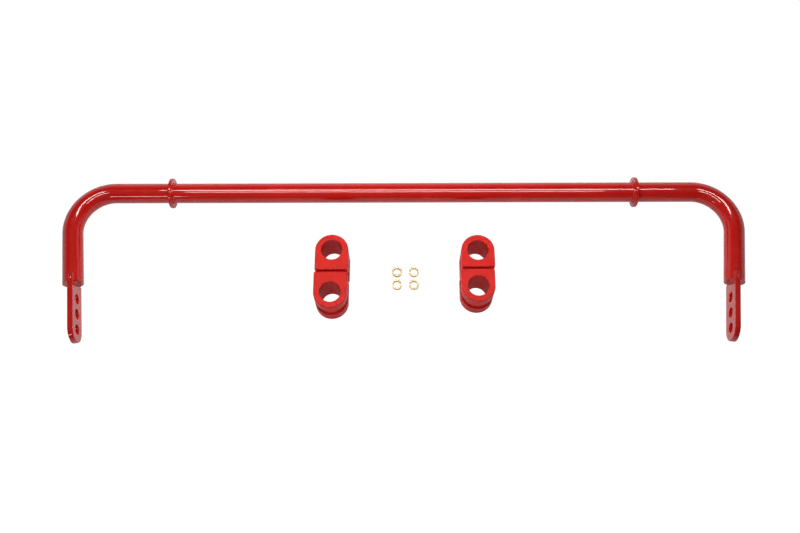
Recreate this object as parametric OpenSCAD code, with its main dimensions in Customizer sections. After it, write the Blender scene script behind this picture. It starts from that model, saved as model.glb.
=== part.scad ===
// Adjustable sway bar kit, laid out flat on a bench: one bent tube with welded end lugs and two
// locating collars, two pairs of split D-bushings standing on end, and four reducer sleeves.
// X runs along the bar, the arms point towards -Y, +Z is up, and the bench is the plane Z = 0.

/* [Bar] */
// Outside diameter of the tube
tube_d = 28.6; // [22:0.1:34]
// Wall thickness of the tube
tube_wall = 4; // [3:0.5:6]
// Widest distance across the two bends
overall_w = 975; // [800:1:1200]
// Radius of the bends at the tube's centreline
bend_r = 56; // [50:1:90]
// Straight length of each arm, from its bend to the end of the tube
arm_l = 77; // [50:1:160]
// Angle by which each arm leans in towards the middle
arm_lean = 7.8; // [0:0.1:12]

/* [End lugs] */
// Thickness of the lug plate
lug_t = 7.5; // [5:0.5:8]
// Height of the lug plate across the holes
lug_w = 37; // [32:0.5:40]
// Distance of the plate's middle plane inwards from the arm's centreline
lug_offset = 1.6; // [0:0.1:3]
// Diameter of the link holes
hole_d = 14.2; // [12:0.1:16]
// Number of link holes in each lug
hole_count = 3; // [1:1:4]
// Distance from the end of the tube to the first hole
first_hole = 23; // [18:0.5:30]
// Distance between neighbouring holes
hole_pitch = 22.3; // [19:0.1:30]
// Depth of the slot in the tube that takes the root of the lug
slot_depth = 12; // [8:1:18]
// Thickness of the half-moon caps that close the tube beside the lug
cap_t = 3; // [2:0.5:4]
// Radius of the weld beads along the slot
bead_r = 4.8; // [4.4:0.1:5]
// Radius of the weld beads across the faces of the plate
face_bead_r = 3; // [2:0.1:4]

/* [Locating collars] */
// Outside diameter of a collar
collar_d = 43.5; // [40:0.5:48]
// Thickness of a collar
collar_t = 5; // [4:0.5:8]
// Chamfer around both edges of the rim
collar_chamfer = 1; // [0.5:0.1:1.5]
// Distance between the outer faces of the two collars
collar_span = 676; // [500:1:760]
// Size of the fillet weld on the inner face of a collar
collar_weld = 3.5; // [2:0.1:4.5]

/* [Bushings] */
// Width of a bushing, which is also twice the radius of its round back
bush_w = 46; // [40:0.5:52]
// Length of a bushing along its bore
bush_l = 50; // [40:0.5:60]
// Distance from the bore's axis to the flat base on the left pair
base_left = 29.5; // [24:0.1:34]
// Distance from the bore's axis to the flat base on the right pair
base_right = 24.9; // [24:0.1:34]
// Width of the bracket channel around the back
channel_w = 12; // [8:1:30]
// Depth of the bracket channel
channel_depth = 2.5; // [1:0.1:3.5]
// Width of the slit that lets a bushing open over the tube
slit = 0.4; // [0.3:0.1:1]
// Radial running clearance of the bore on the tube
bush_clearance = 0.05; // [0.02:0.01:0.1]

/* [Sleeves] */
// Outside diameter of a reducer sleeve
sleeve_d = 14; // [11.5:0.1:15.8]
// Inside diameter of a reducer sleeve
sleeve_bore = 10.2; // [8:0.1:11]
// Length of a reducer sleeve
sleeve_l = 6.5; // [5:0.5:8]

/* [Layout on the bench] */
// Distance of the left bushing pair from the middle
pair_left_x = 100; // [60:0.1:160]
// Distance of the right bushing pair from the middle
pair_right_x = 102.2; // [60:0.1:160]
// Distance of the left pair's joint line in front of the bar
pair_left_y = 132.3; // [110:0.1:150]
// Distance of the right pair's joint line in front of the bar
pair_right_y = 128.6; // [110:0.1:150]
// Gap between the flat bases of a pair
pair_gap = 2.6; // [0.5:0.1:4]
// How far the far bushing of a pair stands to the right of the near one
pair_shift = 0.8; // [0:0.1:3]
// Offset of the sleeve group from the middle
sleeve_x = 2.6; // [-10:0.1:10]
// Distance of the sleeve group in front of the bar
sleeve_y = 126.5; // [100:0.5:150]
// Spacing of the sleeves along X
sleeve_pitch_x = 24; // [18:0.5:40]
// Spacing of the sleeves along Y
sleeve_pitch_y = 19.3; // [18:0.1:40]

/* [Hidden] */
$fn = 96;
tube_r = tube_d / 2;
bore_r = tube_r - tube_wall;
collar_r = collar_d / 2;
straight_half = overall_w / 2 - tube_r - bend_r;
turn = 90 + arm_lean;
bend_lap = 1;
bend_draw = 0.1;

// The end of the left arm, seen from the middle of the straight tube.
end_x = -straight_half - bend_r * cos(arm_lean) + arm_l * sin(arm_lean);
end_y = -bend_r - bend_r * sin(arm_lean) - arm_l * cos(arm_lean);

// The last hole, on which the round tip of the lug is centred.
last_hole = first_hole + (hole_count - 1) * hole_pitch;
last_hole_y = end_y - last_hole * cos(arm_lean) + lug_offset * sin(arm_lean);

// The bar rests on its collars and on the lower edges of its lugs, so its plane droops a little.
droop = asin((collar_r - lug_w / 2) / -last_hole_y);
tip_reach = -last_hole_y * cos(droop)
    + lug_w / 2 * sqrt(pow(cos(arm_lean) * cos(droop), 2) + pow(sin(droop), 2))
    + lug_t / 2 * sin(arm_lean);
bar_y = (tip_reach - collar_r) / 2;

RED = [0.62, 0.06, 0.05];
POLY_RED = [0.88, 0.20, 0.17];
GOLD = [0.86, 0.70, 0.36];

// Places what is drawn around the straight tube's middle where the bar lies on the bench.
module lay_bar() {
    translate([0, bar_y, collar_r])
        rotate([droop, 0, 0])
            children();
}

// Draws a left-hand piece as it is for side -1, and mirrored for side +1.
module on_side(side) {
    if (side < 0)
        children();
    else
        mirror([1, 0, 0]) children();
}

// Moves to the end of the left arm, with -Y pointing out along the arm.
module at_arm_end() {
    translate([end_x, end_y, 0])
        rotate([0, 0, arm_lean])
            children();
}

// A solid rod of radius r along the left half of the bar, which runs past both ends by extra.
// The bend is drawn a hair thinner, and the straight lengths run a little way over it.
module half_bar(r, extra) {
    translate([-straight_half - bend_lap, 0, 0])
        rotate([0, 90, 0])
            cylinder(h = straight_half + bend_lap + extra, r = r);
    translate([-straight_half, -bend_r, 0])
        rotate([0, 0, 90])
            rotate_extrude(angle = turn)
                translate([bend_r, 0])
                    circle(r = r - bend_draw);
    at_arm_end()
        translate([0, -extra, 0])
            rotate([-90, 0, 0])
                cylinder(h = arm_l + bend_lap + extra, r = r);
}

// The space that the lug plate takes, from Y = from to Y = to, and taller than the lug itself.
module plate_space(from, to) {
    translate([lug_offset - lug_t / 2, from, -lug_w])
        cube([lug_t, to - from, 2 * lug_w]);
}

module bar_tube() {
    color(RED)
        lay_bar()
            difference() {
                union() {
                    half_bar(tube_r, 0);
                    mirror([1, 0, 0]) half_bar(tube_r, 0);
                }
                half_bar(bore_r, 1);
                mirror([1, 0, 0]) half_bar(bore_r, 1);
                for (side = [-1, 1])
                    on_side(side)
                        at_arm_end()
                            plate_space(-1, slot_depth);
            }
}

module end_cap(side) {
    color(RED)
        lay_bar()
            on_side(side)
                at_arm_end()
                    difference() {
                        rotate([-90, 0, 0])
                            cylinder(h = cap_t, r = bore_r);
                        plate_space(-1, cap_t + 1);
                    }
}

// The outline of the lug, with the end of the tube at Y = 0 and the tip towards -Y.
module lug_outline() {
    root_w = 2 * sqrt(pow(tube_r, 2) - pow(lug_offset + lug_t / 2, 2));
    translate([-root_w / 2, 0])
        square([root_w, slot_depth]);
    translate([-lug_w / 2, -last_hole])
        square([lug_w, last_hole]);
    translate([0, -last_hole])
        circle(d = lug_w);
}

module lug(side) {
    color(RED)
        lay_bar()
            on_side(side)
                at_arm_end()
                    translate([lug_offset - lug_t / 2, 0, 0])
                        difference() {
                            rotate([0, 90, 0])
                                linear_extrude(lug_t)
                                    lug_outline();
                            for (i = [0 : hole_count - 1])
                                translate([-1, -first_hole - i * hole_pitch, 0])
                                    rotate([0, 90, 0])
                                        cylinder(h = lug_t + 2, d = hole_d);
                        }
}

// A bead runs along the slot above and below, and another across each face of the plate.
module lug_weld(side) {
    bead_l = slot_depth - bead_r;
    color(RED)
        lay_bar()
            on_side(side)
                at_arm_end()
                    difference() {
                        union() {
                            for (up = [-1, 1])
                                translate([lug_offset, -1, up * tube_r])
                                    rotate([-90, 0, 0])
                                        cylinder(h = bead_l + 1, r = bead_r);
                            for (face = [-1, 1])
                                translate([lug_offset + face * lug_t / 2, 0, -bore_r])
                                    cylinder(h = 2 * bore_r, r = face_bead_r);
                        }
                        rotate([-90, 0, 0])
                            cylinder(h = arm_l, r = tube_r);
                        plate_space(-bead_r - 1, 0);
                    }
}

module collar(side) {
    profile = [
        [tube_r, 0],
        [collar_r - collar_chamfer, 0],
        [collar_r, collar_chamfer],
        [collar_r, collar_t - collar_chamfer],
        [collar_r - collar_chamfer, collar_t],
        [tube_r, collar_t]
    ];
    color(RED)
        lay_bar()
            on_side(side)
                translate([-collar_span / 2, 0, 0])
                    rotate([0, 90, 0])
                        rotate_extrude()
                            polygon(profile);
}

module collar_weld_ring(side) {
    color(RED)
        lay_bar()
            on_side(side)
                translate([-collar_span / 2 + collar_t, 0, 0])
                    rotate([0, 90, 0])
                        rotate_extrude()
                            polygon([
                                [tube_r, 0],
                                [tube_r + collar_weld, 0],
                                [tube_r, collar_weld]
                            ]);
}

// The D outline of a bushing around its bore, with the flat base towards -Y.
module d_outline(r, base) {
    circle(r = r);
    translate([-r, -base])
        square([2 * r, base]);
}

// A bushing of one pair. facing is +1 for the far one, whose base looks towards -Y, and -1 for the near one.
module bushing(side, facing) {
    base = side < 0 ? base_left : base_right;
    pair_x = side < 0 ? -pair_left_x : pair_right_x;
    pair_y = side < 0 ? pair_left_y : pair_right_y;
    flange = (bush_l - channel_w) / 2;
    color(POLY_RED)
        translate([
            pair_x + facing * pair_shift / 2,
            bar_y - pair_y + facing * (base + pair_gap / 2),
            0
        ])
            rotate([0, 0, facing > 0 ? 0 : 180])
                difference() {
                    union() {
                        linear_extrude(flange)
                            d_outline(bush_w / 2, base);
                        linear_extrude(bush_l)
                            d_outline(bush_w / 2 - channel_depth, base);
                        translate([0, 0, bush_l - flange])
                            linear_extrude(flange)
                                d_outline(bush_w / 2, base);
                    }
                    translate([0, 0, -1])
                        cylinder(h = bush_l + 2, r = tube_r + bush_clearance);
                    translate([-slit / 2, -base - 1, -1])
                        cube([slit, base + 1, bush_l + 2]);
                }
}

module sleeve(side, row) {
    color(GOLD)
        translate([
            sleeve_x + side * sleeve_pitch_x / 2,
            bar_y - sleeve_y + row * sleeve_pitch_y / 2,
            0
        ])
            difference() {
                cylinder(h = sleeve_l, d = sleeve_d);
                translate([0, 0, -1])
                    cylinder(h = sleeve_l + 2, d = sleeve_bore);
            }
}

bar_tube();
end_cap(-1);  // end_cap_left
end_cap(1);  // end_cap_right
lug(-1);  // lug_left
lug(1);  // lug_right
lug_weld(-1);  // lug_weld_left
lug_weld(1);  // lug_weld_right
collar(-1);  // collar_left
collar(1);  // collar_right
collar_weld_ring(-1);  // collar_weld_left
collar_weld_ring(1);  // collar_weld_right
bushing(-1, 1);  // bushing_left_far
bushing(-1, -1);  // bushing_left_near
bushing(1, 1);  // bushing_right_far
bushing(1, -1);  // bushing_right_near
sleeve(-1, 1);  // sleeve_left_far
sleeve(-1, -1);  // sleeve_left_near
sleeve(1, 1);  // sleeve_right_far
sleeve(1, -1);  // sleeve_right_near
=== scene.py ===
# %% [markdown]
# # A sway bar kit, built up in Blender around its CAD frame
# All of it lies loose on a pale bench. The CAD model fixes every size and place. This script gives the
# pieces their rounded edges, their welds and their finish, and never moves anything.

from math import asin, atan2, cos, pi, radians, sin, sqrt, tan

import bmesh
import bpy
from mathutils import Matrix, Vector


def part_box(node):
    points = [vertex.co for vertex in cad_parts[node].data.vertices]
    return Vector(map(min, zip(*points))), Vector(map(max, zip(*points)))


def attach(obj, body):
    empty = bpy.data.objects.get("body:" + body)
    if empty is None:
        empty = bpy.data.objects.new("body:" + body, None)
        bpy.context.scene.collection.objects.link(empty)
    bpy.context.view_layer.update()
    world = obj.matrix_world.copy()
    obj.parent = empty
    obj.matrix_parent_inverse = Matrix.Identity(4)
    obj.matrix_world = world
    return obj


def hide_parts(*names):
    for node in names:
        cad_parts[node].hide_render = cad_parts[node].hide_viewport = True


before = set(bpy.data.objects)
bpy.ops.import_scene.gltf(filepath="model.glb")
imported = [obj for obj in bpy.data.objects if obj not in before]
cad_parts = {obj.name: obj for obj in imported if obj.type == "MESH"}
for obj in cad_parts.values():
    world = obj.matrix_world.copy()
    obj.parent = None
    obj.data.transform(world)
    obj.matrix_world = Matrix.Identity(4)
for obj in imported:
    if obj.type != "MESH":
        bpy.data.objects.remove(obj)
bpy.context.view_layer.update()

# %% [markdown]
# ## The driving sizes
# These are the sizes of the CAD source, in metres. Only the slit of the bushings is drawn narrower.
# The places that follow from them are worked out in the same way as in the CAD, so every finished
# piece lands on the solid that it stands for.

# %% Sizes in metres
MM = 0.001
TUBE_R = 14.3 * MM
BORE_R = 10.3 * MM
OVERALL_W = 975 * MM
BEND_R = 56 * MM
ARM_L = 77 * MM
ARM_LEAN = radians(7.8)

LUG_T = 7.5 * MM
LUG_W = 37 * MM
LUG_OFFSET = 1.6 * MM
HOLE_R = 7.1 * MM
HOLE_COUNT = 3
FIRST_HOLE = 23 * MM
HOLE_PITCH = 22.3 * MM
SLOT_DEPTH = 12 * MM
CAP_T = 3 * MM

COLLAR_R = 21.75 * MM
COLLAR_T = 5 * MM
COLLAR_SPAN = 676 * MM

BUSH_W = 46 * MM
BUSH_L = 50 * MM
BASE = {"left": 29.5 * MM, "right": 24.9 * MM}
CHANNEL_W = 12 * MM
CHANNEL_DEPTH = 2.5 * MM
SLIT = 0.1 * MM
BUSH_BORE_R = TUBE_R + 0.05 * MM

SLEEVE_R = 7 * MM
SLEEVE_BORE_R = 5.1 * MM
SLEEVE_L = 6.5 * MM

# %% Places that follow from the sizes
turn = pi / 2 + ARM_LEAN
straight_half = OVERALL_W / 2 - TUBE_R - BEND_R
arm_end = Vector((
    -straight_half - BEND_R * cos(ARM_LEAN) + ARM_L * sin(ARM_LEAN),
    -BEND_R - BEND_R * sin(ARM_LEAN) - ARM_L * cos(ARM_LEAN),
    0,
))
corner = Vector((-straight_half - BEND_R * tan(turn / 2), 0, 0))
last_hole = FIRST_HOLE + (HOLE_COUNT - 1) * HOLE_PITCH
last_hole_y = arm_end.y - last_hole * cos(ARM_LEAN) + LUG_OFFSET * sin(ARM_LEAN)
droop = asin((COLLAR_R - LUG_W / 2) / -last_hole_y)
bar_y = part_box("collar_left")[1].y - COLLAR_R
lay_bar = Matrix.Translation((0, bar_y, COLLAR_R)) @ Matrix.Rotation(droop, 4, "X")
mirror_x = Matrix.Scale(-1, 4, (1, 0, 0))
at_arm_end = Matrix.Translation(arm_end) @ Matrix.Rotation(ARM_LEAN, 4, "Z")


def on_side(side):
    """The bar's own place on the bench, with the left half drawn as it is and the right half mirrored."""
    return lay_bar if side == "left" else lay_bar @ mirror_x


print(f"bar axis y {bar_y:.4f} m, droop {droop * 180 / pi:.3f} degrees, arm end {arm_end[:]}")

# %% [markdown]
# ## Small helpers for meshes
# Every finished piece is a plain mesh whose place is in its vertices. A piece that is drawn once and
# mirrored to the other side would come out inside out, so `place` turns its faces round again.
# `finish_piece` hands the piece to its CAD body, hides the CAD node that it stands for, and prints how many
# faces and open edges the piece has.


# %% Mesh helpers
SHARP_ANGLE = radians(35)


def place(mesh, matrix):
    """Moves a mesh's own vertices, and keeps its faces looking outwards."""
    mesh.transform(matrix)
    if matrix.determinant() < 0:
        mesh.flip_normals()
    mesh.update()


def new_object(name, mesh, material):
    mesh.materials.clear()
    mesh.materials.append(material)
    piece = bpy.data.objects.new(name, mesh)
    bpy.context.scene.collection.objects.link(piece)
    return piece


def as_mesh(source):
    """The evaluated result of an object's modifiers or curve, as a plain mesh. The source is removed."""
    bpy.context.view_layer.update()
    graph = bpy.context.evaluated_depsgraph_get()
    mesh = bpy.data.meshes.new_from_object(source.evaluated_get(graph))
    bpy.data.objects.remove(source)
    return mesh


def weld_doubles(mesh, distance):
    """Joins vertices that lie on each other, so that the surface is one closed sheet."""
    form = bmesh.new()
    form.from_mesh(mesh)
    bmesh.ops.remove_doubles(form, verts=form.verts, dist=distance)
    form.to_mesh(mesh)
    form.free()


def even_shading(piece):
    """Lets large flat faces set the normals, so that they stay flat up to their rounded edges."""
    for face in piece.data.polygons:
        face.use_smooth = True
    piece.data.set_sharp_from_angle(angle=SHARP_ANGLE)
    modifier = piece.modifiers.new("even_shading", "WEIGHTED_NORMAL")
    modifier.weight = 100
    modifier.keep_sharp = True


def open_edges(mesh):
    form = bmesh.new()
    form.from_mesh(mesh)
    count = sum(1 for edge in form.edges if not edge.is_manifold)
    form.free()
    return count


def finish_piece(piece, body, node):
    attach(piece, body)
    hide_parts(node)
    faces = len(piece.data.polygons)
    print(f"{piece.name}: {faces} faces, {open_edges(piece.data)} open edges, on {body}")


# %% [markdown]
# ## Helpers for node trees
# A material and a geometry tree are both nodes joined by links. `add` makes one node, sets its
# options, and fills its inputs: an input is either a plain value or another node's output.


# %% Node helper
def add(tree, kind, inputs=None, **options):
    """Makes one node in a tree. Inputs are named, or numbered where a node has several of one name."""
    made = tree.nodes.new(kind)
    for option, value in options.items():
        setattr(made, option, value)
    for key, value in (inputs or {}).items():
        if isinstance(value, bpy.types.NodeSocket):
            tree.links.new(value, made.inputs[key])
        else:
            made.inputs[key].default_value = value
    return made


def math_node(tree, operation, *values):
    return add(tree, "ShaderNodeMath", dict(enumerate(values)), operation=operation).outputs[0]


def vector_math(tree, operation, *values):
    return add(tree, "ShaderNodeVectorMath", dict(enumerate(values)), operation=operation).outputs[0]


def new_material(name):
    """An empty node material with a Principled shader, its tree, and the shader."""
    material = bpy.data.materials.new(name)
    material.use_nodes = True
    tree = material.node_tree
    tree.nodes.clear()
    shader = add(tree, "ShaderNodeBsdfPrincipled")
    add(tree, "ShaderNodeOutputMaterial", {"Surface": shader.outputs["BSDF"]})
    return material, tree, shader


def ramp(tree, factor, stops):
    """A colour ramp with the given (position, colour) stops."""
    made = add(tree, "ShaderNodeValToRGB", {"Fac": factor})
    elements = made.color_ramp.elements
    for element, (position, colour) in zip(elements, (stops[0], stops[-1])):
        element.position = position
        element.color = (*colour, 1)
    for position, colour in stops[1:-1]:
        elements.new(position).color = (*colour, 1)
    return made.outputs["Color"]


# %% [markdown]
# ## Finish 1: gloss red powder coat
# The whole bar is sprayed with red powder after welding, and baked until the powder flows into a
# glossy film. The film isn't a perfect mirror: it has "orange peel", waves two or three millimetres
# long and about a micron high, and here and there a fleck where a coarser grain melted in.
# A clear coat layer gives the sharp highlights, and a red base below gives the depth.


# %% Powder coat
def powder_coat(name, deep, bright, peel):
    """Red powder coat. peel is the height of the orange peel, in metres."""
    material, tree, shader = new_material(name)
    place_of = add(tree, "ShaderNodeTexCoord").outputs["Object"]
    cloud = add(tree, "ShaderNodeTexNoise", {"Vector": place_of, "Scale": 22, "Detail": 3, "Roughness": 0.6})
    grain = add(tree, "ShaderNodeTexNoise", {
        "Vector": place_of, "Scale": 1900, "Detail": 2, "Roughness": 0.5})
    mixed = math_node(tree, "MULTIPLY_ADD", grain.outputs["Fac"], 0.35, math_node(
        tree, "MULTIPLY", cloud.outputs["Fac"], 0.65))
    colour = ramp(tree, mixed, [(0.38, deep), (0.62, bright)])
    waves = add(tree, "ShaderNodeTexNoise", {
        "Vector": place_of, "Scale": 420, "Detail": 2, "Roughness": 0.55})
    flecks = add(tree, "ShaderNodeTexVoronoi", {"Vector": place_of, "Scale": 160}, feature="F1")
    fleck = add(tree, "ShaderNodeMapRange", {
        "Value": flecks.outputs["Distance"], "From Min": 0.0, "From Max": 0.09, "To Min": 1.0, "To Max": 0.0})
    height = math_node(tree, "MULTIPLY_ADD", fleck.outputs[0], 0.5, waves.outputs["Fac"])
    bump = add(tree, "ShaderNodeBump", {"Strength": 1.0, "Distance": peel, "Height": height})
    rough = add(tree, "ShaderNodeMapRange", {
        "Value": cloud.outputs["Fac"], "From Min": 0.3, "From Max": 0.7, "To Min": 0.20, "To Max": 0.32})
    tree.links.new(colour, shader.inputs["Base Color"])
    tree.links.new(rough.outputs[0], shader.inputs["Roughness"])
    tree.links.new(bump.outputs["Normal"], shader.inputs["Normal"])
    tree.links.new(bump.outputs["Normal"], shader.inputs["Coat Normal"])
    shader.inputs["IOR"].default_value = 1.45
    shader.inputs["Specular IOR Level"].default_value = 0.08
    shader.inputs["Coat Weight"].default_value = 1.0
    shader.inputs["Coat Roughness"].default_value = 0.02
    shader.inputs["Coat IOR"].default_value = 1.5
    print("material", name)
    return material


red_coat = powder_coat("gloss_red_powder_coat", (0.50, 0.0075, 0.0040), (0.56, 0.0095, 0.0055), 1.2e-6)
weld_coat = powder_coat("red_powder_coat_over_weld", (0.44, 0.0065, 0.0035), (0.54, 0.0095, 0.0055), 20e-6)

# %% [markdown]
# ## Finish 2: moulded polyurethane
# The bushings are cast in a mould from red polyurethane. Fresh from the mould it is satin,
# and it carries the fine texture of the mould with faint swirls where the two liquid
# parts were stirred together.


# %% Polyurethane
def polyurethane(name):
    material, tree, shader = new_material(name)
    place_of = add(tree, "ShaderNodeTexCoord").outputs["Object"]
    swirl = add(tree, "ShaderNodeTexNoise", {
        "Vector": place_of, "Scale": 34, "Detail": 4, "Roughness": 0.6, "Distortion": 1.4})
    texture = add(tree, "ShaderNodeTexNoise", {
        "Vector": place_of, "Scale": 1500, "Detail": 3, "Roughness": 0.65})
    pores = add(tree, "ShaderNodeTexVoronoi", {"Vector": place_of, "Scale": 420}, feature="F1")
    pore = add(tree, "ShaderNodeMapRange", {
        "Value": pores.outputs["Distance"], "From Min": 0.0, "From Max": 0.12, "To Min": -1.0, "To Max": 0.0})
    colour = ramp(tree, swirl.outputs["Fac"], [
        (0.30, (0.60, 0.015, 0.011)), (0.50, (0.67, 0.019, 0.014)), (0.72, (0.72, 0.025, 0.018))])
    height = math_node(tree, "ADD", texture.outputs["Fac"], pore.outputs[0])
    bump = add(tree, "ShaderNodeBump", {"Strength": 1.0, "Distance": 30e-6, "Height": height})
    rough = add(tree, "ShaderNodeMapRange", {
        "Value": swirl.outputs["Fac"], "From Min": 0.3, "From Max": 0.7, "To Min": 0.34, "To Max": 0.46})
    tree.links.new(colour, shader.inputs["Base Color"])
    tree.links.new(rough.outputs[0], shader.inputs["Roughness"])
    tree.links.new(bump.outputs["Normal"], shader.inputs["Normal"])
    shader.inputs["IOR"].default_value = 1.5
    shader.inputs["Specular IOR Level"].default_value = 0.1
    print("material", name)
    return material


red_urethane = polyurethane("red_polyurethane")

# %% [markdown]
# ## Finish 3: yellow zinc
# The sleeves are turned from bar and plated with yellow-passivated zinc. The turning tool leaves
# fine rings, and the passivation drifts in colour from straw to a slightly pink gold. The rings
# follow the sleeve, so they read the sleeve's own UV map: U runs round it and V along its outline.


# %% Yellow zinc
def yellow_zinc(name):
    material, tree, shader = new_material(name)
    coordinates = add(tree, "ShaderNodeTexCoord")
    drift = add(tree, "ShaderNodeTexNoise", {
        "Vector": coordinates.outputs["Object"], "Scale": 130, "Detail": 3, "Roughness": 0.6})
    colour = ramp(tree, drift.outputs["Fac"], [
        (0.30, (0.80, 0.60, 0.28)), (0.50, (0.88, 0.70, 0.38)), (0.70, (0.92, 0.76, 0.48))])
    rings = add(tree, "ShaderNodeTexWave", {
        "Vector": coordinates.outputs["UV"], "Scale": 26, "Distortion": 0.6, "Detail": 2},
        wave_type="BANDS", bands_direction="Y")
    bump = add(tree, "ShaderNodeBump", {"Strength": 1.0, "Distance": 1e-6, "Height": rings.outputs["Fac"]})
    rough = add(tree, "ShaderNodeMapRange", {
        "Value": drift.outputs["Fac"], "From Min": 0.3, "From Max": 0.7, "To Min": 0.36, "To Max": 0.48})
    tree.links.new(colour, shader.inputs["Base Color"])
    tree.links.new(rough.outputs[0], shader.inputs["Roughness"])
    tree.links.new(bump.outputs["Normal"], shader.inputs["Normal"])
    shader.inputs["Metallic"].default_value = 1.0
    print("material", name)
    return material


gold_zinc = yellow_zinc("yellow_zinc")

# %% [markdown]
# ## The bent tube, by Geometry Nodes
# The real bar is a straight tube pushed round a former at two places, so its shape follows a rule:
# four points, with the two inner corners rounded to the bend radius, and a round section swept
# along that path. A node tree holds the rule, with its sizes as inputs. A second, thinner sweep
# hollows the tube out, and two boxes saw the slots that take the lugs. The sawn edges stay sharp,
# because rounding them spoils the shading of the faces beside the slots.


# %% Tree for the bent tube
BORE_PAST_END = 1 * MM


def group_input(tree, name, kind):
    tree.interface.new_socket(name, in_out="INPUT", socket_type=kind)


def bent_path(tree, left_end, left_corner, bend_radius, steps):
    """Nodes for a path through the left end, the two corners and the right end, with round corners."""
    def flip(point):
        return vector_math(tree, "MULTIPLY", point, (-1, 1, 1))
    index = add(tree, "GeometryNodeInputIndex").outputs[0]
    choose = add(tree, "GeometryNodeIndexSwitch", data_type="VECTOR")
    for _ in range(2):
        choose.index_switch_items.new()
    points = (left_end, left_corner, flip(left_corner), flip(left_end))
    tree.links.new(index, choose.inputs["Index"])
    for number, point in enumerate(points):
        tree.links.new(point, choose.inputs[number + 1])
    line = add(tree, "GeometryNodeMeshLine", {"Count": len(points)}, mode="OFFSET")
    bent = add(tree, "GeometryNodeSetPosition", {
        "Geometry": line.outputs[0], "Position": choose.outputs[0]})
    path = add(tree, "GeometryNodeMeshToCurve", {"Mesh": bent.outputs[0]})
    return add(tree, "GeometryNodeFilletCurve", {
        "Curve": path.outputs[0], "Count": steps, "Radius": bend_radius}, mode="POLY").outputs[0]


def sweep(tree, path, radius, sides):
    profile = add(tree, "GeometryNodeCurvePrimitiveCircle", {"Resolution": sides, "Radius": radius})
    return add(tree, "GeometryNodeCurveToMesh", {
        "Curve": path, "Profile Curve": profile.outputs[0], "Fill Caps": True}).outputs[0]


def bent_tube_tree():
    tree = bpy.data.node_groups.new("Bent tube", "GeometryNodeTree")
    for name, kind in (
        ("Arm End", "NodeSocketVector"),
        ("Corner", "NodeSocketVector"),
        ("Bend Radius", "NodeSocketFloat"),
        ("Outer Radius", "NodeSocketFloat"),
        ("Bore Radius", "NodeSocketFloat"),
        ("Slot Centre", "NodeSocketVector"),
        ("Slot Size", "NodeSocketVector"),
        ("Lean", "NodeSocketFloat"),
        ("Material", "NodeSocketMaterial"),
    ):
        group_input(tree, name, kind)
    tree.interface.new_socket("Geometry", in_out="OUTPUT", socket_type="NodeSocketGeometry")
    given = add(tree, "NodeGroupInput").outputs
    outward = vector_math(tree, "NORMALIZE", vector_math(tree, "SUBTRACT", given["Arm End"], given["Corner"]))
    past_end = add(tree, "ShaderNodeVectorMath", {
        0: outward, 1: (BORE_PAST_END,) * 3, 2: given["Arm End"]}, operation="MULTIPLY_ADD").outputs[0]
    bend_steps = 56
    sides = 96
    outer = sweep(tree, bent_path(tree, given["Arm End"], given["Corner"], given["Bend Radius"], bend_steps),
                  given["Outer Radius"], sides)
    bore = sweep(tree, bent_path(tree, past_end, given["Corner"], given["Bend Radius"], bend_steps),
                 given["Bore Radius"], sides)
    saw = add(tree, "GeometryNodeMeshBoolean", {"Mesh 1": outer}, operation="DIFFERENCE", solver="EXACT")
    tree.links.new(bore, saw.inputs["Mesh 2"])
    for mirrored in (1, -1):
        box = add(tree, "GeometryNodeMeshCube", {"Size": given["Slot Size"]})
        centre = vector_math(tree, "MULTIPLY", given["Slot Centre"], (mirrored, 1, 1))
        spin = add(tree, "ShaderNodeCombineXYZ", {"Z": math_node(tree, "MULTIPLY", given["Lean"], mirrored)})
        moved = add(tree, "GeometryNodeTransform", {
            "Geometry": box.outputs[0], "Translation": centre, "Rotation": spin.outputs[0]})
        tree.links.new(moved.outputs[0], saw.inputs["Mesh 2"])
    merged = add(tree, "GeometryNodeMergeByDistance", {"Geometry": saw.outputs[0], "Distance": 1e-6})
    real = add(tree, "GeometryNodeRealizeInstances", {"Geometry": merged.outputs[0]})
    painted = add(tree, "GeometryNodeSetMaterial", {
        "Geometry": real.outputs[0], "Material": given["Material"]})
    add(tree, "NodeGroupOutput", {"Geometry": painted.outputs[0]})
    return tree


# %% Set a tree's inputs and turn its result into a mesh
def run_tree(source, tree, values):
    """Puts the tree on an object, sets its inputs by their identifiers, and returns the plain mesh."""
    modifier = source.modifiers.new(tree.name, "NODES")
    modifier.node_group = tree
    identifiers = {
        item.name: item.identifier
        for item in tree.interface.items_tree
        if item.item_type == "SOCKET" and item.in_out == "INPUT"
    }
    for name, value in values.items():
        modifier[identifiers[name]] = value
    return as_mesh(source)


# %% Make the tube
slot_margin = 1 * MM
slot_centre = at_arm_end @ Vector((LUG_OFFSET, (SLOT_DEPTH - slot_margin) / 2, 0))
seed_mesh = bpy.data.meshes.new("tube_seed")
seed = bpy.data.objects.new("tube_seed", seed_mesh)
bpy.context.scene.collection.objects.link(seed)
tube_mesh = run_tree(seed, bent_tube_tree(), {
    "Arm End": arm_end,
    "Corner": corner,
    "Bend Radius": BEND_R,
    "Outer Radius": TUBE_R,
    "Bore Radius": BORE_R,
    "Slot Centre": slot_centre,
    "Slot Size": (LUG_T, SLOT_DEPTH + slot_margin, 4 * TUBE_R),
    "Lean": ARM_LEAN,
    "Material": red_coat,
})
place(tube_mesh, lay_bar)
tube = new_object("bent_tube", tube_mesh, red_coat)
for face in tube.data.polygons:
    face.use_smooth = True
tube.data.set_sharp_from_angle(angle=SHARP_ANGLE)
finish_piece(tube, "bar", "bar_tube")

# %% [markdown]
# ## Flat plates: the lugs
# A lug is sawn from flat bar, drilled, and rounded at its tip. The powder flows round its edges, so
# none of them is sharp. A flat curve does this in one go: outlines and holes are splines, the curve
# is filled and given its thickness, and its bevel rounds every edge, the rims of the holes included.


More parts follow.
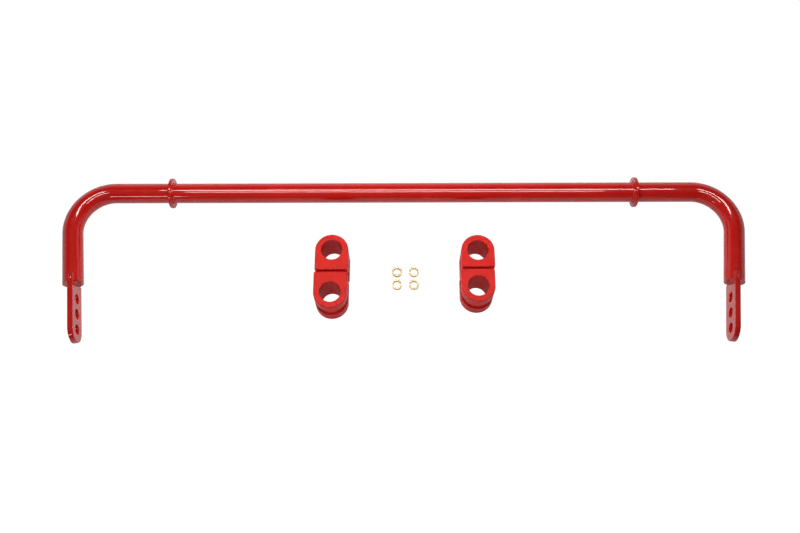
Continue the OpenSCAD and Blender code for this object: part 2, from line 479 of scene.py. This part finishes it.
# %% Plates from outlines
def arc(centre, radius, start, end, steps):
    """Points along a circular arc, ends included."""
    return [
        Vector((centre[0] + radius * cos(start + (end - start) * i / steps),
                centre[1] + radius * sin(start + (end - start) * i / steps), 0))
        for i in range(steps + 1)
    ]


def rounded_plate(name, outlines, thickness, edge):
    """A plate with the given closed outlines, centred on the XY plane. Inner outlines become holes."""
    curve = bpy.data.curves.new(name, "CURVE")
    curve.dimensions = "2D"
    curve.fill_mode = "BOTH"
    curve.extrude = thickness / 2 - edge
    curve.bevel_depth = edge
    curve.bevel_resolution = 4
    curve.offset = -edge
    for outline in outlines:
        spline = curve.splines.new("POLY")
        spline.points.add(len(outline) - 1)
        for point, where in zip(spline.points, outline):
            point.co = (*where, 1)
        spline.use_cyclic_u = True
    source = bpy.data.objects.new(name, curve)
    bpy.context.scene.collection.objects.link(source)
    mesh = as_mesh(source)
    weld_doubles(mesh, 1e-6)
    return mesh


def lug_outlines():
    root_half = sqrt(TUBE_R ** 2 - (LUG_OFFSET + LUG_T / 2) ** 2)
    tip = arc((0, -last_hole), LUG_W / 2, pi, 2 * pi, 48)
    shoulder = [
        Vector((LUG_W / 2, 0, 0)),
        Vector((root_half, 0, 0)),
        Vector((root_half, SLOT_DEPTH, 0)),
        Vector((-root_half, SLOT_DEPTH, 0)),
        Vector((-root_half, 0, 0)),
        Vector((-LUG_W / 2, 0, 0)),
    ]
    holes = [
        arc((0, -FIRST_HOLE - i * HOLE_PITCH), HOLE_R, 0, 2 * pi, 48)[:-1]
        for i in range(HOLE_COUNT)
    ]
    return [tip + shoulder, *holes]


# %% Lugs
LUG_EDGE = 0.9 * MM
for side in ("left", "right"):
    mesh = rounded_plate(f"lug_plate_{side}", lug_outlines(), LUG_T, LUG_EDGE)
    stand_up = Matrix.Translation((LUG_OFFSET, 0, 0)) @ Matrix.Rotation(pi / 2, 4, "Y")
    place(mesh, on_side(side) @ at_arm_end @ stand_up)
    lug = new_object(f"lug_plate_{side}", mesh, red_coat)
    even_shading(lug)
    finish_piece(lug, "bar", f"lug_{side}")

# %% [markdown]
# The tube end beside the plate is closed by two thin half-moons, one on each side of the lug, so no
# water gets in. Their outline is the bore's circle, cut off by the plate's face. Their edges lie
# against the tube and the plate, so nothing rounds them: each half-moon is a plain prism.


# %% End caps
def half_moon(cut, radius):
    """The part of a circle beyond x = cut. A negative cut gives the part on the other side."""
    reach = asin(sqrt(radius ** 2 - cut ** 2) / radius)
    middle = 0 if cut > 0 else pi
    return arc((0, 0), radius, middle - reach, middle + reach, 40)


def prisms(name, outlines, thickness):
    """Upright walls on convex outlines, closed above and below, and centred on the XY plane."""
    form = bmesh.new()
    for outline in outlines:
        low, high = (
            [form.verts.new((point.x, point.y, height)) for point in outline]
            for height in (-thickness / 2, thickness / 2)
        )
        form.faces.new(low)
        form.faces.new(high)
        for i in range(len(outline)):
            form.faces.new((low[i - 1], low[i], high[i], high[i - 1]))
    bmesh.ops.recalc_face_normals(form, faces=form.faces)
    mesh = bpy.data.meshes.new(name)
    form.to_mesh(mesh)
    form.free()
    return mesh


for side in ("left", "right"):
    outlines = [
        half_moon(LUG_OFFSET + LUG_T / 2, BORE_R),
        half_moon(LUG_OFFSET - LUG_T / 2, BORE_R),
    ]
    mesh = prisms(f"end_caps_{side}", outlines, CAP_T)
    face_along_arm = Matrix.Translation((0, CAP_T / 2, 0)) @ Matrix.Rotation(pi / 2, 4, "X")
    place(mesh, on_side(side) @ at_arm_end @ face_along_arm)
    cap = new_object(f"end_caps_{side}", mesh, red_coat)
    finish_piece(cap, "bar", f"end_cap_{side}")

# %% [markdown]
# ## Turned rings: collars and sleeves
# A collar and a sleeve are both lathe work: an outline turned round an axis. `lathe` revolves a
# closed outline and writes a UV map, U round the axis and V along the outline, for finishes that
# follow the turning.


# %% Lathe
def round_corners(points, radii, steps=5):
    """A closed polygon with each corner replaced by an arc of its own radius."""
    rounded = []
    count = len(points)
    for i, (point, radius) in enumerate(zip(points, radii)):
        here = Vector(point)
        back = (Vector(points[i - 1]) - here).normalized()
        ahead = (Vector(points[(i + 1) % count]) - here).normalized()
        half = back.angle(ahead) / 2
        centre = here + (back + ahead).normalized() * radius / sin(half)
        start = here + back * radius / tan(half) - centre
        end = here + ahead * radius / tan(half) - centre
        rounded += [centre + start.slerp(end, k / steps).normalized() * radius for k in range(steps + 1)]
    return rounded


def lathe(name, outline, segments):
    """Turns a closed outline of (radius, height) points round the Z axis."""
    form = bmesh.new()
    uv = form.loops.layers.uv.new("turned")
    angles = [2 * pi * i / segments for i in range(segments)]
    rings = [
        [form.verts.new((r * cos(angle), r * sin(angle), h)) for r, h in outline]
        for angle in angles
    ]
    along = [0.0]
    for i in range(len(outline)):
        step = Vector(outline[(i + 1) % len(outline)]) - Vector(outline[i])
        along.append(along[-1] + step.length)
    for i in range(segments):
        here, there = rings[i], rings[(i + 1) % segments]
        for j in range(len(outline)):
            k = (j + 1) % len(outline)
            face = form.faces.new((here[j], there[j], there[k], here[k]))
            face.smooth = True
            corners = ((i, j), (i + 1, j), (i + 1, j + 1), (i, j + 1))
            for loop, (u, v) in zip(face.loops, corners):
                loop[uv].uv = (u / segments, along[v] / along[-1])
    bmesh.ops.recalc_face_normals(form, faces=form.faces)
    mesh = bpy.data.meshes.new(name)
    form.to_mesh(mesh)
    form.free()
    return mesh


# %% Collars
COLLAR_EDGE = 1.2 * MM
HIDDEN_EDGE = 0.05 * MM
along_bar = Matrix.Rotation(pi / 2, 4, "Y")
collar_outline = round_corners(
    [(TUBE_R, 0), (COLLAR_R, 0), (COLLAR_R, COLLAR_T), (TUBE_R, COLLAR_T)],
    [HIDDEN_EDGE, COLLAR_EDGE, COLLAR_EDGE, HIDDEN_EDGE],
)
for side in ("left", "right"):
    mesh = lathe(f"locating_collar_{side}", collar_outline, 96)
    place(mesh, on_side(side) @ Matrix.Translation((-COLLAR_SPAN / 2, 0, 0)) @ along_bar)
    collar = new_object(f"locating_collar_{side}", mesh, red_coat)
    even_shading(collar)
    finish_piece(collar, "bar", f"collar_{side}")

# %% Sleeves
SLEEVE_EDGE = 0.6 * MM
sleeve_outline = round_corners(
    [(SLEEVE_BORE_R, 0), (SLEEVE_R, 0), (SLEEVE_R, SLEEVE_L), (SLEEVE_BORE_R, SLEEVE_L)],
    [SLEEVE_EDGE] * 4,
)
for side in ("left", "right"):
    for row in ("far", "near"):
        node = f"sleeve_{side}_{row}"
        lo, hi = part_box(node)
        mesh = lathe(f"reducer_{side}_{row}", sleeve_outline, 72)
        place(mesh, Matrix.Translation(((lo.x + hi.x) / 2, (lo.y + hi.y) / 2, lo.z)))
        sleeve = new_object(f"reducer_{side}_{row}", mesh, gold_zinc)
        even_shading(sleeve)
        finish_piece(sleeve, f"{node}_body", node)

# %% [markdown]
# ## Weld beads, by Geometry Nodes
# A weld is laid down drop by drop, so a bead is a round section swept along a path, swelling a
# little at every drop and never quite evenly. One tree serves all the beads: it takes the path from
# the object's own curve, resamples it, sets the radius by a ripple and a noise with a fixed seed,
# tapers the open ends, and lumps the skin a little.


# %% Tree for weld beads
LUMP_HEIGHT = 0.9 * MM


def weld_bead_tree():
    tree = bpy.data.node_groups.new("Weld bead", "GeometryNodeTree")
    for name, kind in (
        ("Path", "NodeSocketGeometry"),
        ("Bead Radius", "NodeSocketFloat"),
        ("Drop Pitch", "NodeSocketFloat"),
        ("Ripple", "NodeSocketFloat"),
        ("Unevenness", "NodeSocketFloat"),
        ("Taper", "NodeSocketFloat"),
        ("Seed", "NodeSocketFloat"),
        ("Material", "NodeSocketMaterial"),
    ):
        group_input(tree, name, kind)
    tree.interface.new_socket("Geometry", in_out="OUTPUT", socket_type="NodeSocketGeometry")
    given = add(tree, "NodeGroupInput").outputs
    step = math_node(tree, "DIVIDE", given["Drop Pitch"], 8.0)
    path = add(tree, "GeometryNodeResampleCurve", {"Curve": given["Path"], "Length": step}, mode="LENGTH")
    spline = add(tree, "GeometryNodeSplineParameter").outputs
    phase = math_node(tree, "DIVIDE", spline["Length"], given["Drop Pitch"])
    drop = math_node(tree, "ABSOLUTE", math_node(tree, "SINE", math_node(tree, "MULTIPLY", phase, pi)))
    ripple = math_node(tree, "MULTIPLY_ADD", drop, given["Ripple"], 1.0)
    place_of = add(tree, "GeometryNodeInputPosition").outputs[0]
    wander = add(tree, "ShaderNodeTexNoise", {
        "Vector": place_of, "W": given["Seed"], "Scale": 160.0, "Detail": 1.0}, noise_dimensions="4D")
    uneven = math_node(tree, "MULTIPLY", math_node(
        tree, "SUBTRACT", wander.outputs["Fac"], 0.5), given["Unevenness"])
    from_middle = math_node(tree, "ABSOLUTE", math_node(tree, "MULTIPLY_ADD", spline["Factor"], 2.0, -1.0))
    closing = math_node(tree, "POWER", from_middle, 4.0)
    taper = math_node(tree, "SQRT", math_node(tree, "MAXIMUM", math_node(
        tree, "SUBTRACT", 1.0, math_node(tree, "MULTIPLY", closing, given["Taper"])), 0.002))
    scale = math_node(tree, "MULTIPLY", taper, math_node(tree, "ADD", ripple, uneven))
    shaped = add(tree, "GeometryNodeSetCurveRadius", {"Curve": path.outputs[0], "Radius": scale})
    skin = sweep(tree, shaped.outputs[0], given["Bead Radius"], 24)
    lumps = add(tree, "ShaderNodeTexNoise", {
        "Vector": place_of, "W": given["Seed"], "Scale": 420.0, "Detail": 2.0}, noise_dimensions="4D")
    push = math_node(tree, "MULTIPLY", math_node(tree, "SUBTRACT", lumps.outputs["Fac"], 0.5), LUMP_HEIGHT)
    normal = add(tree, "GeometryNodeInputNormal").outputs[0]
    offset = add(tree, "ShaderNodeVectorMath", {0: normal, "Scale": push}, operation="SCALE").outputs[0]
    lumpy = add(tree, "GeometryNodeSetPosition", {"Geometry": skin, "Offset": offset})
    merged = add(tree, "GeometryNodeMergeByDistance", {"Geometry": lumpy.outputs[0], "Distance": 1e-6})
    smooth = add(tree, "GeometryNodeSetShadeSmooth", {"Geometry": merged.outputs[0]})
    real = add(tree, "GeometryNodeRealizeInstances", {"Geometry": smooth.outputs[0]})
    painted = add(tree, "GeometryNodeSetMaterial", {
        "Geometry": real.outputs[0], "Material": given["Material"]})
    add(tree, "NodeGroupOutput", {"Geometry": painted.outputs[0]})
    return tree


bead_tree = weld_bead_tree()


def weld_beads(name, groups, closed, values, matrix):
    """Sweeps beads along the paths of each (paths, radius) group, and returns them as one piece in place."""
    form = bmesh.new()
    for paths, radius in groups:
        curve = bpy.data.curves.new(name, "CURVE")
        curve.dimensions = "3D"
        for path in paths:
            spline = curve.splines.new("POLY")
            spline.points.add(len(path) - 1)
            for point, where in zip(spline.points, path):
                point.co = (*where, 1)
            spline.use_cyclic_u = closed
        source = bpy.data.objects.new(name, curve)
        bpy.context.scene.collection.objects.link(source)
        form.from_mesh(run_tree(source, bead_tree, {**values, "Bead Radius": radius, "Material": weld_coat}))
    mesh = bpy.data.meshes.new(name)
    form.to_mesh(mesh)
    form.free()
    place(mesh, matrix)
    return new_object(name, mesh, weld_coat)


# %% [markdown]
# Each collar is welded all round on its inner face. The bead sits in the corner between the collar
# and the tube, so its path is a circle a little above the tube and a little off the collar.

# %% Collar welds
COLLAR_BEAD_R = 1.5 * MM
BEAD_OFF_TUBE = 0.5 * MM
BEAD_OFF_COLLAR = 0.4 * MM
for number, side in enumerate(("left", "right")):
    ring = arc((0, 0), TUBE_R + BEAD_OFF_TUBE, 0, 2 * pi, 96)[:-1]
    ring_place = Matrix.Translation((-COLLAR_SPAN / 2 + COLLAR_T + BEAD_OFF_COLLAR, 0, 0)) @ along_bar
    bead = weld_beads(f"collar_bead_{side}", [([ring], COLLAR_BEAD_R)], True, {
        "Drop Pitch": 3.2 * MM,
        "Ripple": 0.14,
        "Unevenness": 0.25,
        "Taper": 0.0,
        "Seed": float(number),
    }, on_side(side) @ ring_place)
    finish_piece(bead, "bar", f"collar_weld_{side}")

# %% [markdown]
# A lug is welded where its root passes through the tube wall, above and below, and across the end
# of the tube on both faces of the plate. These beads are shorter and lumpier, because the welder
# stops and starts on them.

# %% Lug welds
SLOT_BEAD_R = 3.8 * MM
SLOT_BEAD_SUNK = 0.6 * MM
SLOT_BEAD_STOPS = (0.4 * MM, 6.0 * MM, 11.0 * MM)
FACE_BEAD_R = 1.3 * MM
FACE_BEAD_OFF = 0.2 * MM
FACE_BEAD_SHORT = 1.5 * MM
for number, side in enumerate(("left", "right")):
    along_slot = [
        [Vector((LUG_OFFSET, y, up * (TUBE_R - SLOT_BEAD_SUNK))) for y in SLOT_BEAD_STOPS]
        for up in (-1, 1)
    ]
    across_faces = []
    for face in (-1, 1):
        beside = LUG_OFFSET + face * (LUG_T / 2 + FACE_BEAD_OFF)
        reach = sqrt(TUBE_R ** 2 - beside ** 2) - FACE_BEAD_SHORT
        across_faces.append([Vector((beside, FACE_BEAD_OFF, height)) for height in (-reach, 0, reach)])
    values = {
        "Drop Pitch": 3.6 * MM,
        "Ripple": 0.22,
        "Unevenness": 0.5,
        "Taper": 1.0,
        "Seed": 5.0 + number,
    }
    beads = weld_beads(f"lug_beads_{side}", [
        (along_slot, SLOT_BEAD_R),
        (across_faces, FACE_BEAD_R),
    ], False, values, on_side(side) @ at_arm_end)
    finish_piece(beads, "bar", f"lug_weld_{side}")

# %% [markdown]
# ## The bushings
# A bushing is a thick sleeve with a round back and a flat base. A channel round its back takes the
# bracket, and a slit from the bore to the base lets it open over the bar. It could be cut from
# solids, but a cast part has soft edges everywhere. So it is lofted instead: the outline is drawn at
# many heights, and near the ends and the channel the outline is drawn smaller, along a quarter
# circle, which rounds each edge. The bore gets the same treatment from inside.


# %% Bushing outline and heights
BUSH_EDGE = 1.5 * MM
BORE_EDGE = 1.0 * MM
BASE_CORNER = 2.0 * MM
CHANNEL_EDGE = 1.2 * MM
BASE_STEPS = 14


def d_outline(radius, base):
    """The D-shaped outline from one side of the slit, round the back, to the other side."""
    flat = radius - BASE_CORNER - SLIT / 2
    right = [Vector((SLIT / 2 + flat * i / BASE_STEPS, -base, 0)) for i in range(BASE_STEPS)]
    right += arc((radius - BASE_CORNER, -base + BASE_CORNER), BASE_CORNER, -pi / 2, 0, 8)
    for share in (0.75, 0.5, 0.25):
        right.append(Vector((radius, -(base - BASE_CORNER) * share, 0)))
    back = arc((0, 0), radius, 0, pi, 64)
    left = [Vector((-point.x, point.y, 0)) for point in reversed(right)]
    return right + back + left


def bore_outline(outer, radius):
    """One point of the bore for each point of the outline, seen in the same direction from the axis."""
    edge = asin(SLIT / 2 / radius)
    points = []
    for point in outer:
        angle = atan2(point.x, -point.y) % (2 * pi)
        angle = min(max(angle, edge), 2 * pi - edge)
        points.append(Vector((radius * sin(angle), -radius * cos(angle), 0)))
    return points


def quarter(radius, steps=6):
    """(height, inset) pairs along a rounded edge, from the end face up to the full outline."""
    return [
        (radius * (1 - cos(pi / 2 * k / steps)), radius * (1 - sin(pi / 2 * k / steps)))
        for k in range(steps + 1)
    ]


def bushing_heights():
    """(height, how much smaller all round, how deep in the channel) from the bottom to the top."""
    flange = (BUSH_L - CHANNEL_W) / 2
    lower = [(height, inset, 0.0) for height, inset in quarter(BUSH_EDGE)]
    lower.append((flange / 2, 0.0, 0.0))
    for height, inset in reversed(quarter(CHANNEL_EDGE)):
        lower.append((flange - height, 0.0, inset))
    lower.append((flange, 0.0, CHANNEL_DEPTH))
    upper = [(BUSH_L - height, inset, deep) for height, inset, deep in reversed(lower)]
    return lower + upper


# %% Loft a bushing
def loft_bushing(name, base):
    """An open loft, from one side of the slit round to the other, closed by end faces and slit walls."""
    form = bmesh.new()
    outer = []
    for height, inset, deep in bushing_heights():
        ring = d_outline(BUSH_W / 2 - inset - deep, base - inset)
        outer.append([form.verts.new((p.x, p.y, height)) for p in ring])
    full = d_outline(BUSH_W / 2, base)
    lips = quarter(BORE_EDGE)
    bore = []
    for height, inset in lips + [(BUSH_L - h, i) for h, i in reversed(lips)]:
        ring = bore_outline(full, BUSH_BORE_R + inset)
        bore.append([form.verts.new((p.x, p.y, height)) for p in ring])
    for rings in (outer, bore):
        for low, high in zip(rings, rings[1:]):
            for i in range(len(full) - 1):
                form.faces.new((low[i], low[i + 1], high[i + 1], high[i]))
    for end in (0, -1):
        for i in range(len(full) - 1):
            form.faces.new((outer[end][i], outer[end][i + 1], bore[end][i + 1], bore[end][i]))
    for wall in (0, -1):
        form.faces.new([ring[wall] for ring in outer] + [ring[wall] for ring in reversed(bore)])
    bmesh.ops.recalc_face_normals(form, faces=form.faces)
    mesh = bpy.data.meshes.new(name)
    form.to_mesh(mesh)
    form.free()
    return mesh


for side in ("left", "right"):
    for row in ("far", "near"):
        node = f"bushing_{side}_{row}"
        lo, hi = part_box(node)
        turned = Matrix.Rotation(0 if row == "far" else pi, 4, "Z")
        axis_y = lo.y + BASE[side] if row == "far" else hi.y - BASE[side]
        mesh = loft_bushing(f"split_bushing_{side}_{row}", BASE[side])
        place(mesh, Matrix.Translation(((lo.x + hi.x) / 2, axis_y, lo.z)) @ turned)
        bushing = new_object(f"split_bushing_{side}_{row}", mesh, red_urethane)
        even_shading(bushing)
        finish_piece(bushing, f"{node}_body", node)

# %% [markdown]
# ## The bench, the lights and the camera
# Two long strip lights hang ten metres over the bar and draw the two thin lines along it; they show
# only in reflections. A small light from the front left, a little under thirty degrees up, adds a
# third line. A pool of light over the middle of the bar and a broad fill from the front brighten the
# pieces and show in no reflection. The surroundings are bright low down behind the bar and dark
# overhead, so the gloss shows a deep red between the highlights. The bench is made twice in the same
# place: the sheet that is seen glows almost white, and the sheet that lights the pieces from below
# is matt and glows a little.


# %% Bench
BENCH_HALF = 8.0


def bench_sheet(name, material, seen):
    """A flat sheet that is either seen by the camera only, or only lights and reflects."""
    mesh = bpy.data.meshes.new(name)
    corners = [(x * BENCH_HALF, y * BENCH_HALF, 0) for x, y in ((-1, -1), (1, -1), (1, 1), (-1, 1))]
    mesh.from_pydata(corners, [], [(0, 1, 2, 3)])
    sheet = new_object(name, mesh, material)
    sheet.visible_camera = seen
    sheet.visible_diffuse = not seen
    sheet.visible_glossy = not seen
    sheet.visible_shadow = not seen


def bench_material(name, shade, glow):
    """Matt, with a faint mottle. glow is how much light it gives off by itself."""
    material, tree, shader = new_material(name)
    place_of = add(tree, "ShaderNodeTexCoord").outputs["Object"]
    mottle = add(tree, "ShaderNodeTexNoise", {"Vector": place_of, "Scale": 6, "Detail": 4})
    colour = ramp(tree, mottle.outputs["Fac"], [(0.3, (shade * 0.96,) * 3), (0.7, (shade,) * 3)])
    tree.links.new(colour, shader.inputs["Base Color"])
    shader.inputs["Roughness"].default_value = 0.9
    shader.inputs["Specular IOR Level"].default_value = 0.0
    shader.inputs["Emission Color"].default_value = (1, 1, 1, 1)
    shader.inputs["Emission Strength"].default_value = glow
    return material


bench_sheet("bench_seen", bench_material("bright_bench", 0.15, 0.95), True)
bench_sheet("bench_bounce", bench_material("matt_bench", 0.50, 0.32), False)
print("bench", 2 * BENCH_HALF, "m square")


# %% Surroundings
def surroundings():
    """Bright low down behind the bar, dim in front of it, and dark overhead."""
    world = bpy.data.worlds.new("studio")
    bpy.context.scene.world = world
    world.use_nodes = True
    tree = world.node_tree
    tree.nodes.clear()
    direction = add(tree, "ShaderNodeTexCoord").outputs["Generated"]
    parts = add(tree, "ShaderNodeSeparateXYZ", {"Vector": direction})
    back = ramp(tree, parts.outputs["Z"], [
        (0.0, (0.80, 0.80, 0.82)), (0.33, (0.74, 0.74, 0.76)),
        (0.48, (0.20, 0.20, 0.21)), (0.75, (0.04, 0.04, 0.04))])
    front = ramp(tree, parts.outputs["Z"], [
        (0.0, (0.16, 0.16, 0.17)), (0.5, (0.06, 0.06, 0.065)), (1.0, (0.04, 0.04, 0.04))])
    behind = add(tree, "ShaderNodeMapRange", {
        "Value": parts.outputs["Y"], "From Min": -0.4, "From Max": 0.5}, interpolation_type="SMOOTHSTEP")
    colour = add(tree, "ShaderNodeMix", data_type="RGBA")
    tree.links.new(behind.outputs[0], colour.inputs["Factor"])
    tree.links.new(front, colour.inputs[6])
    tree.links.new(back, colour.inputs[7])
    background = add(tree, "ShaderNodeBackground", {"Color": colour.outputs[2], "Strength": 1.0})
    add(tree, "ShaderNodeOutputWorld", {"Surface": background.outputs[0]})


surroundings()


# %% Lights
def area_light(name, position, target, size, radiance):
    """A rectangular light that looks at the target, with its long side along X. radiance sets its glare."""
    light = bpy.data.lights.new(name, "AREA")
    light.shape = "RECTANGLE"
    light.size, light.size_y = size
    light.energy = radiance * pi * size[0] * size[1]
    lamp = bpy.data.objects.new(name, light)
    lamp.location = position
    lamp.rotation_euler = (Vector(target) - Vector(position)).to_track_quat("-Z", "Y").to_euler()
    bpy.context.scene.collection.objects.link(lamp)
    return lamp


# Each strip has a name, its angle from overhead towards the front and its spread, both in degrees,
# its centre along X, its length and its glare.
STRIP_HEIGHT = 10.0
for name, angle, spread, centre_x, length, glare in (
    ("strip_behind", -8.0, 5.5, 0.22, 6.7, 23.0),
    ("strip_above", 14.0, 4.8, -0.07, 5.5, 18.0),
):
    strip_at = Vector((centre_x, bar_y - STRIP_HEIGHT * tan(radians(angle)), STRIP_HEIGHT))
    width = STRIP_HEIGHT * radians(spread)
    strip = area_light(name, strip_at, (centre_x, bar_y, 0), (length, width), glare)
    strip.visible_diffuse = False
low_front = area_light("low_front", (-1.02, -1.9, 1.12), (-0.35, 0.1, 0.02), (0.3, 0.2), 13.0)
low_front.data.color = (1.0, 0.85, 0.92)
pool = area_light("pool_of_light", (-0.03, 0.28, 0.85), (-0.03, 0.05, 0), (0.3, 0.3), 22.0)
pool.visible_glossy = False
fill = area_light("front_fill", (-0.3, -1.25, 1.6), (0, 0, 0), (1.0, 1.0), 2.6)
fill.visible_glossy = False

# %% Camera
SENSOR_WIDTH_MM = 36
LENS_MM = 38.7
CAMERA_AT = (-0.0052, -0.4634, 1.1443)
CAMERA_TILT = radians(21.83)
CAMERA_ROLL = radians(-0.156)
camera_data = bpy.data.cameras.new("camera")
camera_data.sensor_width = SENSOR_WIDTH_MM
camera_data.lens = LENS_MM
camera = bpy.data.objects.new("camera", camera_data)
camera.matrix_world = (
    Matrix.Translation(CAMERA_AT)
    @ Matrix.Rotation(CAMERA_TILT, 4, "X")
    @ Matrix.Rotation(CAMERA_ROLL, 4, "Z")
)
bpy.context.scene.collection.objects.link(camera)
bpy.context.scene.camera = camera
bpy.context.scene.view_settings.view_transform = "Standard"
print("lens", round(camera_data.lens, 2), "mm")
